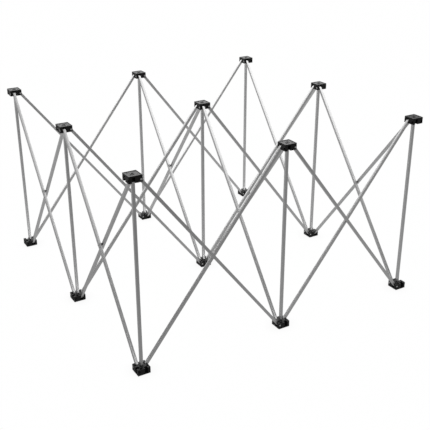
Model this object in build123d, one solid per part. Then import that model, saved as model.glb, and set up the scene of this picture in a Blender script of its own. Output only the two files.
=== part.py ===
from build123d import *
from math import asin, atan2, cos, degrees, hypot, radians
import os

# Folding scissor frame: nine posts on a square grid, joined by crossed struts that fold together.
# Millimetres, +Z up, +X to the right, -Y to the front. The origin is on the floor, under the
# centre post. The frame stands open, with its telescopic posts closed on their stops.

# Overall layout
pitch = 610.0
frame_height = 762.0
hub_side = 50.0
hub_height = 25.0

# Hub moulding
plate_thickness = 5.0
hub_corner_radius = 1.5
hub_edge_chamfer = 0.7
rim_width = 3.2
field_depth = 1.2
centre_boss_radius = 8.5
cup_radius = 3.2
cup_offset = 12.5
cup_depth = 1.8
slot_width = 12.0
slot_length = 12.0
strut_offset = 8.0
pocket_length = 8.5
pocket_width = 6.5
pocket_wall = 2.5
pocket_offset = 10.2
pocket_depth = 17.0

# Square tube stock
tube_side = 11.0
tube_wall = 1.1
tube_corner_radius = 1.0
end_corner_radius = 4.5

# Strut pivots
pin_inset = 5.5
pin_drop = 16.0
pin_radius = 2.5
running_clearance = 0.05
head_radius = 4.0
head_thickness = 1.8
head_dome_radius = 1.2
head_sink = 0.2
head_clearance = 0.3
pin_bite = 4.0
hex_flat = 2.6
hex_depth = 1.2
rivet_head_radius = 4.2
rivet_head_thickness = 1.3
rivet_dome_radius = 0.9
spacer_radius = 4.6

# Telescopic posts
inner_side = 8.6
inner_wall = 1.1
inner_corner_radius = 0.6
inner_overlap = 120.0
stop_gap = 0.3
socket_clearance = 0.05
plug_length = 15.0
plug_sink = 0.5
post_screw_radius = 2.0
post_screw_length = 13.0
post_head_thickness = 2.2
post_seat_radius = 5.0
post_seat_depth = 3.4
end_play = 0.1

# Values that follow from the dimensions above
folded_gap = 3.3
pin_reach = hub_side / 2 - pin_inset
pin_span_x = pitch - 2 * pin_reach
pin_span_z = frame_height - 2 * pin_drop
strut_length = hypot(pin_span_x, pin_span_z)
strut_lean = degrees(atan2(pin_span_x, pin_span_z))
folded_lean = degrees(asin((folded_gap + 2 * pin_inset) / strut_length))
post_travel = strut_length * (cos(radians(folded_lean)) - cos(radians(strut_lean)))
tube_bore = tube_side - 2 * tube_wall
inner_bore = inner_side - 2 * inner_wall
hole_radius = pin_radius + running_clearance
strut_gap = 2 * strut_offset - tube_side

COLUMNS = (("left", -1), ("middle", 0), ("right", 1))
ROWS = (("front", -1), ("middle", 0), ("back", 1))
FLOOR = (Align.CENTER, Align.CENTER, Align.MIN)
CEILING = (Align.CENTER, Align.CENTER, Align.MAX)


def place_name(row, column):
    return "centre" if row == column == "middle" else f"{row}_{column}"


def along_y(radius, y_from, y_to):
    """A cylinder on the Y axis between two values of Y."""
    length = y_to - y_from
    return Pos(0, (y_from + y_to) / 2, 0) * Rot(90, 0, 0) * Cylinder(radius, length)


def square_tube(side, wall, corner_radius, length):
    """A square tube standing on the XY plane."""
    bar = Box(side, side, length, align=FLOOR)
    bar = fillet(bar.edges().filter_by(Axis.Z), corner_radius)
    return bar - Box(side - 2 * wall, side - 2 * wall, length, align=FLOOR)


def hex_socket(y_face):
    """The driving recess in a head whose outer face is at y_face and looks along -Y."""
    key = extrude(RegularPolygon(hex_flat / 2, 6, major_radius=False), hex_depth)
    return Pos(0, y_face + hex_depth, 0) * Rot(90, 0, 0) * key


def hub_side_cuts():
    """What one side of a hub loses: the strut slot, its pivot bore and a cored pocket."""
    half = hub_side / 2
    slot = Pos(half - slot_length / 2, -strut_offset, -plate_thickness) * Box(
        slot_length, slot_width, hub_height, align=CEILING
    )
    bore = along_y(hole_radius, -half, pin_bite + head_clearance)
    head_depth = head_thickness + head_sink + end_play
    seat = along_y(head_radius + head_clearance, -half, -half + head_depth)
    pivot = Pos(pin_reach, 0, -pin_drop) * (bore + seat)
    pocket_x = half - pocket_wall - pocket_width / 2
    pocket = Pos(pocket_x, pocket_offset, -hub_height) * Box(
        pocket_width, pocket_length, pocket_depth, align=FLOOR
    )
    return slot + pivot + pocket


def hub():
    """The moulded hub, with its outer face up on the XY plane and its slots open downwards."""
    body = Box(hub_side, hub_side, hub_height, align=CEILING)
    body = fillet(body.edges().filter_by(Axis.Z), hub_corner_radius)
    body = chamfer(body.faces().sort_by(Axis.Z)[-1].edges(), hub_edge_chamfer)
    for turn in range(4):
        body -= Rot(0, 0, 90 * turn) * hub_side_cuts()
    field_side = hub_side - 2 * rim_width
    field = Box(field_side, field_side, field_depth, align=CEILING)
    field -= Cylinder(centre_boss_radius, field_depth, align=CEILING)
    cup = Cylinder(cup_radius, cup_depth, align=CEILING)
    cups = [Pos(x, y, 0) * cup for x in (-cup_offset, cup_offset) for y in (-cup_offset, cup_offset)]
    socket_side = tube_side + 2 * socket_clearance
    socket = Pos(0, 0, -plate_thickness) * Box(
        socket_side, socket_side, hub_height, align=CEILING
    )
    hole_through = Cylinder(post_screw_radius + running_clearance, plate_thickness, align=CEILING)
    screw_seat = Cylinder(post_seat_radius, post_seat_depth, align=CEILING)
    return body - field - cups - socket - hole_through - screw_seat


def pivot_pin():
    """A shoulder screw along Y, for a strut at Y = 0. Its head faces the hub's outer side."""
    head_face = -(hub_side / 2 - strut_offset - head_sink)
    shoulder = along_y(pin_radius, head_face + head_thickness, strut_offset + pin_bite)
    head = along_y(head_radius, head_face, head_face + head_thickness)
    head = fillet(head.edges().sort_by(Axis.Y)[0], head_dome_radius)
    return shoulder + head - hex_socket(head_face)


def pivot_rivet():
    """The rivet where two struts cross, with domed heads outside both tubes."""
    near = -tube_side / 2 - running_clearance
    far = 2 * strut_offset + tube_side / 2 + running_clearance
    heads = [
        along_y(rivet_head_radius, near - rivet_head_thickness, near),
        along_y(rivet_head_radius, far, far + rivet_head_thickness),
    ]
    heads[0] = fillet(heads[0].edges().sort_by(Axis.Y)[0], rivet_dome_radius)
    heads[1] = fillet(heads[1].edges().sort_by(Axis.Y)[-1], rivet_dome_radius)
    return along_y(pin_radius, near, far) + heads[0] + heads[1]


def pivot_spacer():
    """The bush that keeps two crossing struts apart."""
    near = tube_side / 2 + end_play
    far = near + strut_gap - 2 * end_play
    return along_y(spacer_radius, near, far) - along_y(hole_radius, near, far)


def strut_tube():
    """A strut's tube, upright and centred on the origin, drilled for its three pivots."""
    full_length = strut_length + 2 * pin_inset
    bar = Box(tube_side, tube_side, full_length)
    bar = fillet(bar.edges().filter_by(Axis.Z), tube_corner_radius)
    rounding = Box(tube_side, tube_side, full_length)
    rounding = fillet(rounding.edges().filter_by(Axis.Y), end_corner_radius)
    bar &= rounding
    bar -= Box(tube_bore, tube_bore, full_length)
    for height in (-strut_length / 2, 0, strut_length / 2):
        bar -= Pos(0, 0, height) * along_y(hole_radius, -tube_side, tube_side)
    return bar


def strut(with_rivet):
    """One strut with its end pins, and for one strut of each pair the rivet and spacer."""
    pieces = [strut_tube()]
    pieces += [Pos(0, 0, side * strut_length / 2) * pivot_pin() for side in (-1, 1)]
    if with_rivet:
        pieces += [pivot_rivet(), pivot_spacer()]
    return pieces


def post_screw():
    """The screw that holds a post in its hub. Its head sits at the top, under the XY plane."""
    sunk = post_seat_depth - post_head_thickness
    head = Pos(0, 0, -sunk) * Cylinder(head_radius, post_head_thickness, align=CEILING)
    shank = Pos(0, 0, -sunk) * Cylinder(post_screw_radius, post_screw_length, align=CEILING)
    key = extrude(RegularPolygon(hex_flat / 2, 6, major_radius=False), hex_depth)
    return head + shank - Pos(0, 0, -sunk - hex_depth) * key


def end_plug(side):
    """The block that the post screw bites into, a little inside a tube that ends on the XY plane."""
    block = Box(side, side, plug_length, align=CEILING)
    block -= Cylinder(post_screw_radius, plug_length, align=CEILING)
    return Pos(0, 0, -plug_sink) * block


def upper_post():
    """A post's outer tube, its end plug and its screw, under a top hub."""
    top = frame_height - plate_thickness
    bottom = hub_height + stop_gap
    tube = square_tube(tube_side, tube_wall, tube_corner_radius, top - bottom)
    screw = Pos(0, 0, frame_height) * post_screw()
    return [Pos(0, 0, bottom) * tube, Pos(0, 0, top) * end_plug(tube_bore), screw]


def lower_post():
    """A post's inner tube with the sleeve that fills its hub's socket, its plug and its screw."""
    top = hub_height + stop_gap + post_travel + inner_overlap
    inner = square_tube(inner_side, inner_wall, inner_corner_radius, top - plate_thickness)
    sleeve_height = hub_height - plate_thickness
    sleeve = square_tube(tube_side, tube_wall, tube_corner_radius, sleeve_height)
    raised = Pos(0, 0, plate_thickness)
    flip = Rot(180, 0, 0)
    plug = flip * end_plug(inner_bore)
    return [raised * inner, raised * sleeve, raised * plug, flip * post_screw()]


def write(name, pieces, place):
    """Write the pieces as one node, each a separate solid."""
    solids = [solid for piece in pieces for solid in (place * piece).solids()]
    export_step(Compound(children=solids), f"parts/{name}.step")


def write_posts_and_hubs():
    hub_shape = hub()
    upper, lower = upper_post(), lower_post()
    for row, y in ROWS:
        for column, x in COLUMNS:
            place, name = Pos(x * pitch, y * pitch, 0), place_name(row, column)
            write(f"top_hub_{name}", [hub_shape], place * Pos(0, 0, frame_height))
            write(f"foot_hub_{name}", [hub_shape], place * Rot(180, 0, 0))
            write(f"upper_post_{name}", upper, place)
            write(f"lower_post_{name}", lower, place)


def strut_place(x, y, turn):
    """Where a strut goes: x and y are its bay's centre and turn swings it about the vertical."""
    stand = Pos(x, y, frame_height / 2) * Rot(0, 0, turn)
    return stand * Pos(0, -strut_offset, 0) * Rot(0, -strut_lean, 0)


def write_struts():
    plain, riveted = strut(False), strut(True)
    for row, y in ROWS:
        for bay, x in (("left", -0.5), ("right", 0.5)):
            name = f"width_strut_{row}_{bay}"
            write(f"{name}_falling", riveted, strut_place(x * pitch, y * pitch, 0))
            write(f"{name}_rising", plain, strut_place(x * pitch, y * pitch, 180))
    for column, x in COLUMNS:
        for bay, y in (("front", -0.5), ("back", 0.5)):
            name = f"depth_strut_{column}_{bay}"
            write(f"{name}_rising", riveted, strut_place(x * pitch, y * pitch, -90))
            write(f"{name}_falling", plain, strut_place(x * pitch, y * pitch, 90))


os.makedirs("parts", exist_ok=True)
write_posts_and_hubs()
write_struts()
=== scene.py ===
from math import atan2, cos, pi, radians, sin

import bpy
from mathutils import Matrix, Vector


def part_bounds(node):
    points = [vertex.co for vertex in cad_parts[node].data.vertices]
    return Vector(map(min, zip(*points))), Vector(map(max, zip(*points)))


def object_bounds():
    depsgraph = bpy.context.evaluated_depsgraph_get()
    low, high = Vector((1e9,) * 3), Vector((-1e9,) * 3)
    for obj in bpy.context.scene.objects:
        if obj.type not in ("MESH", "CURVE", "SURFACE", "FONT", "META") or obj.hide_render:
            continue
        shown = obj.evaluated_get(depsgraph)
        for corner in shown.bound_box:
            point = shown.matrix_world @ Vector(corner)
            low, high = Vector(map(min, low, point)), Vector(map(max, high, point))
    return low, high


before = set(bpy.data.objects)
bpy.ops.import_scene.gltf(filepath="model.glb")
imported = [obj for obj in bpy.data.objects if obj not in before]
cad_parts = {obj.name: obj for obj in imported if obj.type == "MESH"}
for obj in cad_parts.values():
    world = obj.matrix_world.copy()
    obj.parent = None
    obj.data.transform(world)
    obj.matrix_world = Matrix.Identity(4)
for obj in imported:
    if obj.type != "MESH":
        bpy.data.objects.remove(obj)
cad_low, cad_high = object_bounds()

# A folding scissor frame of square aluminium tube with black moulded hubs, in a pale studio.
# Metres, in the part's own frame: +Z up, +X to the right, -Y to the front. A texture's scale is its
# repeats in a metre, and a tone is a share of the way from a material's darker grey to its lighter.

# Camera, which sees the frame from beyond its front left corner and a little from above
VIEW_AZIMUTH = radians(-30.7)
VIEW_ELEVATION = radians(23.9)
VIEW_ROLL = radians(-0.1)
VIEW_DISTANCE = 3.46
VIEW_FIELD = radians(30.43)
AIM = Vector((0.0195, -0.0703, 0.267))

# Edge rounding on the CAD meshes
SAME_POINT_DIGITS = 6
WELD_DISTANCE = 0.000002
FLAT_ANGLE = radians(0.4)
EDGE_ANGLE = radians(35)
EDGE_SEGMENTS = 2
MOULDED_EDGE = 0.00035
METAL_EDGE = 0.00015

# Sizes that tell a node's loose parts from one another
TUBE_LENGTH = 0.1
BUSH_LENGTH = 0.0102
END_REACH = 0.0012

# Which of a hub's polygons belong to its smooth outer face, which carries a painted sheen
FACE_REACH = 0.004
FACE_SLOPE = 0.9

# Values between which most of a noise texture lies
NOISE = (0.3, 0.7)
NOISE_CORE = (0.35, 0.65)

# How far a rounded normal agrees with the true one, on a flat face and on a sharp edge
FLAT_TO_SHARP = (0.99, 0.80)

# Floor. Reflections see it brighten along the sweep, between two places on it.
FLOOR_SIDE = 40.0
FLOOR_DROP = 0.0004
SWEEP_DIRECTION = (0.49, 0.87, 0.0)
SWEEP_PLACES = (-1.6, 0.7)
SWEEP_RADIANCES = (0.20, 0.42)

# The faint painted shadow on the floor, where things within reach leave it less open to the room
CONTACT_REACH = 0.05
CONTACT_OPENNESS = (0.4, 1.0)

# The room's glow, which grows from the horizon to this height on a unit sphere
GLOW_HEIGHTS = (0.0, 0.6)
GLOW_RADIANCES = (0.16, 0.26)

# Softboxes. Each looks down, or towards the front when it is turned up on edge.
SOFTBOXES = {
    "overhead": {
        "centre": (3.24, 0.75, 3.38),
        "width": 4.9,
        "height": 6.5,
        "turn": 0.0,
        "radiance": 0.97,
    },
    "overhead_rim": {
        "centre": (3.19, 1.09, 3.38),
        "width": 7.4,
        "height": 7.6,
        "turn": 0.0,
        "radiance": 0.28,
    },
    "backdrop": {
        "centre": (0.7, 3.0, 2.15),
        "width": 5.2,
        "height": 3.7,
        "turn": radians(-90),
        "radiance": 1.04,
    },
}


def add(tree, kind, inputs=None, **settings):
    """One shader node, with its settings, and its inputs given a value or linked to a socket."""
    node = tree.nodes.new("ShaderNode" + kind)
    for key, value in settings.items():
        setattr(node, key, value)
    for key, value in (inputs or {}).items():
        if isinstance(value, bpy.types.NodeSocket):
            tree.links.new(value, node.inputs[key])
        else:
            node.inputs[key].default_value = value
    return node


def grey(value):
    return (value, value, value, 1.0)


def stretched(tree, vector, share):
    """The vector with its Z shortened to a share, so that a texture is drawn out along Z."""
    return add(tree, "Mapping", {"Vector": vector, "Scale": (1, 1, share)}).outputs["Vector"]


def noise(tree, vector, scale, detail=2.0, rough=0.5):
    made = {"Vector": vector, "Scale": scale, "Detail": detail, "Roughness": rough}
    return add(tree, "TexNoise", made).outputs["Fac"]


def spread(tree, value, span, least=0.0, most=1.0):
    """The value where it lies in the span, stretched to run from least to most."""
    low, high = span
    made = {"Value": value, "From Min": low, "From Max": high, "To Min": least, "To Max": most}
    return add(tree, "MapRange", made, clamp=True).outputs["Result"]


def maths(tree, operation, first, second):
    return add(tree, "Math", {0: first, 1: second}, operation=operation).outputs[0]


def total(tree, first, *others):
    for other in others:
        first = maths(tree, "ADD", first, other)
    return first


def times(tree, first, second):
    return maths(tree, "MULTIPLY", first, second)


def dot(tree, first, second):
    made = {0: first, 1: second}
    return add(tree, "VectorMath", made, operation="DOT_PRODUCT").outputs["Value"]


def blend_colour(tree, share, first, second):
    """A share of the way from the first colour to the second. Mix takes colours in sockets 6 and 7."""
    made = {0: share, 6: first, 7: second}
    return add(tree, "Mix", made, data_type="RGBA").outputs[2]


def bump(tree, height, distance, strength, under=None):
    """The normal of a surface that rises by the height, on top of another normal if one is given."""
    made = {"Height": height, "Distance": distance, "Strength": strength}
    if under is not None:
        made["Normal"] = under
    return add(tree, "Bump", made).outputs["Normal"]


def edge_share(tree, radius):
    """Near 1 on a sharp outer edge and 0 on a flat face."""
    rounded = add(tree, "Bevel", {"Radius": radius}, samples=6).outputs["Normal"]
    true = add(tree, "NewGeometry").outputs["True Normal"]
    return spread(tree, dot(tree, rounded, true), FLAT_TO_SHARP)


def new_material(name):
    material = bpy.data.materials.new(name)
    material.use_nodes = True
    material.node_tree.nodes.clear()
    return material, material.node_tree


def set_surface(tree, shader):
    tree.links.new(shader, add(tree, "OutputMaterial").inputs["Surface"])


def set_principled(tree, inputs):
    set_surface(tree, add(tree, "BsdfPrincipled", inputs).outputs["BSDF"])


def drawn_aluminium(name, turn):
    """Satin anodised tube. The turn brings the tube's length, and so its drawing lines, onto Z."""
    material, tree = new_material(name)
    place = add(tree, "TexCoord").outputs["Object"]
    along = add(tree, "Mapping", {"Vector": place, "Rotation": turn}).outputs["Vector"]
    cloudy = stretched(tree, along, share=0.45)
    lines = noise(tree, stretched(tree, along, share=0.004), scale=1500, detail=3)
    fine_lines = noise(tree, stretched(tree, along, share=0.03), scale=5200)
    cloud = noise(tree, cloudy, scale=85, detail=4, rough=0.6)
    patch = noise(tree, cloudy, scale=22)
    edge = edge_share(tree, radius=0.0005)

    line_tone = spread(tree, lines, NOISE_CORE, most=0.35)
    cloud_tone = spread(tree, cloud, NOISE_CORE, most=0.45)
    edge_tone = times(tree, edge, 0.3)
    tone = total(tree, line_tone, cloud_tone, edge_tone)
    cloud_shine = spread(tree, cloud, NOISE, least=0.29, most=0.38)
    patch_shine = spread(tree, patch, NOISE, least=-0.03, most=0.04)
    edge_polish = times(tree, edge, -0.06)
    relief = bump(tree, lines, distance=0.00004, strength=0.5)
    relief = bump(tree, fine_lines, distance=0.00001, strength=0.5, under=relief)
    made = {
        "Base Color": blend_colour(tree, tone, grey(0.76), grey(0.90)),
        "Metallic": 1.0,
        "Roughness": total(tree, cloud_shine, patch_shine, edge_polish),
        "Normal": relief,
        "Anisotropic": 0.35,
    }
    set_principled(tree, made)
    return material


def steel(name, dull, bright, gloss):
    """A small steel part, plated or blackened, with fine grain and slightly brighter edges."""
    material, tree = new_material(name)
    place = add(tree, "TexCoord").outputs["Object"]
    grain = noise(tree, place, scale=2600, detail=3)
    cloud = noise(tree, place, scale=420, detail=3)
    cloud_tone = spread(tree, cloud, NOISE, most=0.6)
    edge_tone = times(tree, edge_share(tree, radius=0.0003), 0.4)
    tone = total(tree, cloud_tone, edge_tone)
    made = {
        "Base Color": blend_colour(tree, tone, grey(dull), grey(bright)),
        "Metallic": 1.0,
        "Roughness": spread(tree, grain, NOISE, least=gloss, most=gloss + 0.12),
        "Normal": bump(tree, grain, distance=0.00002, strength=0.4),
    }
    set_principled(tree, made)
    return material


def moulded_nylon(name, base, gloss, specular):
    """Glass-filled nylon: a spark-eroded texture, flow clouds and edges rubbed a little paler."""
    material, tree = new_material(name)
    place = add(tree, "TexCoord").outputs["Object"]
    grain = noise(tree, place, scale=3800, detail=3, rough=0.6)
    cells = {"Vector": place, "Scale": 1700}
    pebble = add(tree, "TexVoronoi", cells, feature="SMOOTH_F1").outputs["Distance"]
    flow = noise(tree, place, scale=130, detail=4, rough=0.6)
    scratches = noise(tree, place, scale=700, detail=4, rough=0.7)
    scuff = spread(tree, scratches, span=(0.50, 0.62))
    worn = times(tree, edge_share(tree, radius=0.0007), scuff)

    flow_tone = spread(tree, flow, NOISE, most=0.4)
    tone = total(tree, flow_tone, times(tree, worn, 0.6))
    flow_shine = spread(tree, flow, NOISE, least=gloss, most=gloss + 0.12)
    grain_shine = spread(tree, grain, NOISE, most=0.06)
    relief = bump(tree, pebble, distance=0.00006, strength=0.35)
    relief = bump(tree, grain, distance=0.00003, strength=0.5, under=relief)
    made = {
        "Base Color": blend_colour(tree, tone, grey(base), grey(base * 3.0)),
        "Roughness": total(tree, flow_shine, grain_shine),
        "Normal": relief,
        "IOR": 1.53,
        "Specular IOR Level": specular,
    }
    set_principled(tree, made)
    return material


def pale_floor():
    """Paper white to the camera with a faint painted contact shadow, a pale grey sweep in reflections,
    and clear from below.
    """
    material, tree = new_material("pale_floor")
    # Ambient occlusion darkens the emitted white near the feet: a painted shadow
    openness = add(tree, "AmbientOcclusion", {"Distance": CONTACT_REACH}, samples=8).outputs["AO"]
    fibre = noise(tree, add(tree, "TexCoord").outputs["Object"], scale=60, detail=3)
    painted_contact_shade = spread(tree, openness, CONTACT_OPENNESS, least=0.93)
    fibre_white = spread(tree, fibre, NOISE, least=0.996)
    white = times(tree, painted_contact_shade, fibre_white)
    seen = add(tree, "Emission", {"Color": grey(1.0), "Strength": white}).outputs["Emission"]

    point = add(tree, "NewGeometry").outputs["Position"]
    sweep = spread(tree, dot(tree, point, SWEEP_DIRECTION), SWEEP_PLACES, *SWEEP_RADIANCES)
    mirrored = add(tree, "Emission", {"Color": grey(1.0), "Strength": sweep}).outputs["Emission"]
    camera_ray = add(tree, "LightPath").outputs["Is Camera Ray"]
    above = add(tree, "MixShader", {0: camera_ray, 1: mirrored, 2: seen}).outputs["Shader"]
    below = add(tree, "NewGeometry").outputs["Backfacing"]
    clear = add(tree, "BsdfTransparent").outputs["BSDF"]
    set_surface(tree, add(tree, "MixShader", {0: below, 1: above, 2: clear}).outputs["Shader"])
    return material


def loose_parts(mesh):
    """The mesh's polygons grouped into bodies that touch nowhere."""
    place_of = {}
    root = []
    vertex_place = []
    for vertex in mesh.vertices:
        key = tuple(round(c, SAME_POINT_DIGITS) for c in vertex.co)
        if key not in place_of:
            place_of[key] = len(root)
            root.append(len(root))
        vertex_place.append(place_of[key])

    def find(i):
        while root[i] != i:
            root[i] = root[root[i]]
            i = root[i]
        return i

    for polygon in mesh.polygons:
        first = find(vertex_place[polygon.vertices[0]])
        for vertex in polygon.vertices[1:]:
            root[find(vertex_place[vertex])] = first
    parts = {}
    for polygon in mesh.polygons:
        parts.setdefault(find(vertex_place[polygon.vertices[0]]), []).append(polygon)
    return parts.values()


def part_box(mesh, polygons):
    points = [mesh.vertices[v].co for polygon in polygons for v in polygon.vertices]
    low = Vector(min(p[i] for p in points) for i in range(3))
    high = Vector(max(p[i] for p in points) for i in range(3))
    return low, high


def smooth(node_object, width):
    """Rounds the sharp edges of a CAD node with modifiers, and leaves its own mesh as it is."""
    mesh = node_object.data
    mesh.polygons.foreach_set("use_smooth", [True] * len(mesh.polygons))
    for shading in ("custom_normal", "sharp_edge"):
        if shading in mesh.attributes:
            mesh.attributes.remove(mesh.attributes[shading])
    weld = node_object.modifiers.new("weld", "WELD")
    weld.merge_threshold = WELD_DISTANCE
    flatten = node_object.modifiers.new("flatten", "DECIMATE")
    flatten.decimate_type = "DISSOLVE"
    flatten.angle_limit = FLAT_ANGLE
    flatten.delimit = {"MATERIAL"}
    bevel = node_object.modifiers.new("edges", "BEVEL")
    bevel.width = width
    bevel.segments = EDGE_SEGMENTS
    bevel.limit_method = "ANGLE"
    bevel.angle_limit = EDGE_ANGLE
    bevel.harden_normals = True
    bevel.use_clamp_overlap = True


def give_materials(node_object, materials):
    node_object.data.materials.clear()
    for material in materials:
        node_object.data.materials.append(material)


def give_parts_materials(node_object, materials, pick):
    """Gives each loose part of a node the material that pick chooses from the part's box."""
    give_materials(node_object, materials)
    mesh = node_object.data
    for polygons in loose_parts(mesh):
        index = materials.index(pick(*part_box(mesh, polygons)))
        for polygon in polygons:
            polygon.material_index = index


def nodes_with(word):
    """The names and objects of the CAD nodes that have the word in their names."""
    return [(name, node) for name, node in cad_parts.items() if word in name]


def finish_struts(plated, bush):
    """Drawn tube, plated pins and rivet, and a nylon bush, told apart by their lengths."""
    post_low, post_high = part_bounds("upper_post_centre")
    tube_side = post_high.x - post_low.x
    for name, node_object in nodes_with("_strut_"):
        low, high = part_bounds(name)
        size = high - low
        lean = atan2(max(size.x, size.y) - tube_side, size.z - tube_side)
        direction, *_, slope = name.split("_")
        if slope == "falling":
            lean = -lean
        turn = (0, -lean, 0) if direction == "width" else (lean, 0, 0)
        key = f"tube_{direction}_{slope}"
        tube = bpy.data.materials.get(key) or drawn_aluminium(key, turn)

        def pick(low, high):
            reach = max(high - low)
            if reach > TUBE_LENGTH:
                return tube
            return bush if reach < BUSH_LENGTH else plated

        give_parts_materials(node_object, [tube, plated, bush], pick)
        smooth(node_object, METAL_EDGE)


def finish_posts(blackened, nylon):
    """Drawn tube, a blackened screw at the post's end, and a nylon plug and sleeve."""
    tube = drawn_aluminium("tube_upright", (0, 0, 0))
    for name, node_object in nodes_with("_post_"):
        node_low, node_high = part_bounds(name)

        def pick(low, high):
            if max(high - low) > TUBE_LENGTH:
                return tube
            at_end = min(low.z - node_low.z, node_high.z - high.z) < END_REACH
            return blackened if at_end else nylon

        give_parts_materials(node_object, [tube, blackened, nylon], pick)
        smooth(node_object, METAL_EDGE)


def finish_hubs(nylon, smooth_sheen_nylon):
    """Textured mouldings with a smoother outer face, up on the top hubs and down on the feet, whose
    nylon copy is also paler and more specular: a painted sheen.
    """
    for name, node_object in nodes_with("_hub_"):
        low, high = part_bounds(name)
        outward, level = (1, high.z) if name.startswith("top") else (-1, low.z)
        give_materials(node_object, [nylon, smooth_sheen_nylon])
        for polygon in node_object.data.polygons:
            faces_out = polygon.normal.z * outward > FACE_SLOPE
            near = abs(polygon.center.z - level) < FACE_REACH
            polygon.material_index = 1 if faces_out and near else 0
        smooth(node_object, MOULDED_EDGE)


def softbox(name, centre, width, height, turn, radiance):
    """A rectangular light, turned about X from looking down."""
    data = bpy.data.lights.new(name, "AREA")
    data.shape = "RECTANGLE"
    data.size = width
    data.size_y = height
    data.energy = pi * width * height * radiance
    lamp = bpy.data.objects.new(name, data)
    lamp.location = centre
    lamp.rotation_euler = (turn, 0, 0)
    bpy.context.scene.collection.objects.link(lamp)


def studio_light():
    """The softboxes, in a dim room that the camera sees as white paper."""
    for name, settings in SOFTBOXES.items():
        softbox(name, **settings)
    world = bpy.data.worlds.new("studio")
    bpy.context.scene.world = world
    world.use_nodes = True
    tree = world.node_tree
    tree.nodes.clear()
    direction = add(tree, "TexCoord").outputs["Generated"]
    height = add(tree, "SeparateXYZ", {0: direction}).outputs["Z"]
    glow = spread(tree, height, GLOW_HEIGHTS, *GLOW_RADIANCES)
    camera_ray = add(tree, "LightPath").outputs["Is Camera Ray"]
    strength = maths(tree, "MAXIMUM", glow, camera_ray)
    made = {"Color": grey(1.0), "Strength": strength}
    room = add(tree, "Background", made).outputs["Background"]
    tree.links.new(room, add(tree, "OutputWorld").inputs["Surface"])


def floor():
    mesh = bpy.data.meshes.new("floor")
    half = FLOOR_SIDE / 2
    level = cad_low.z - FLOOR_DROP
    corners = [(-half, -half, level), (half, -half, level), (half, half, level), (-half, half, level)]
    mesh.from_pydata(corners, [], [(0, 1, 2, 3)])
    mesh.materials.append(pale_floor())
    sheet = bpy.data.objects.new("floor", mesh)
    bpy.context.scene.collection.objects.link(sheet)


def camera():
    data = bpy.data.cameras.new("camera")
    data.sensor_fit = "HORIZONTAL"
    data.angle = VIEW_FIELD
    level = cos(VIEW_ELEVATION)
    back = Vector((level * sin(VIEW_AZIMUTH), -level * cos(VIEW_AZIMUTH), sin(VIEW_ELEVATION)))
    turn = (-back).to_track_quat("-Z", "Y").to_matrix() @ Matrix.Rotation(VIEW_ROLL, 3, "Z")
    eye = bpy.data.objects.new("camera", data)
    eye.matrix_world = Matrix.Translation(AIM + back * VIEW_DISTANCE) @ turn.to_4x4()
    bpy.context.scene.collection.objects.link(eye)
    bpy.context.scene.camera = eye


plated_steel = steel("plated_steel", dull=0.78, bright=0.95, gloss=0.14)
blackened_steel = steel("blackened_steel", dull=0.02, bright=0.06, gloss=0.30)
black_nylon = moulded_nylon("black_nylon", base=0.005, gloss=0.34, specular=0.32)
# A lit copy of the black nylon, paler and more specular: painted sheen for the hubs' outer faces
painted_sheen_nylon = moulded_nylon("black_nylon_painted_sheen", base=0.012, gloss=0.26, specular=0.7)
grey_nylon = moulded_nylon("grey_nylon", base=0.10, gloss=0.34, specular=0.5)
finish_hubs(black_nylon, painted_sheen_nylon)
finish_posts(blackened_steel, black_nylon)
finish_struts(plated_steel, grey_nylon)
studio_light()
floor()
camera()
bpy.context.scene.view_settings.view_transform = "Standard"
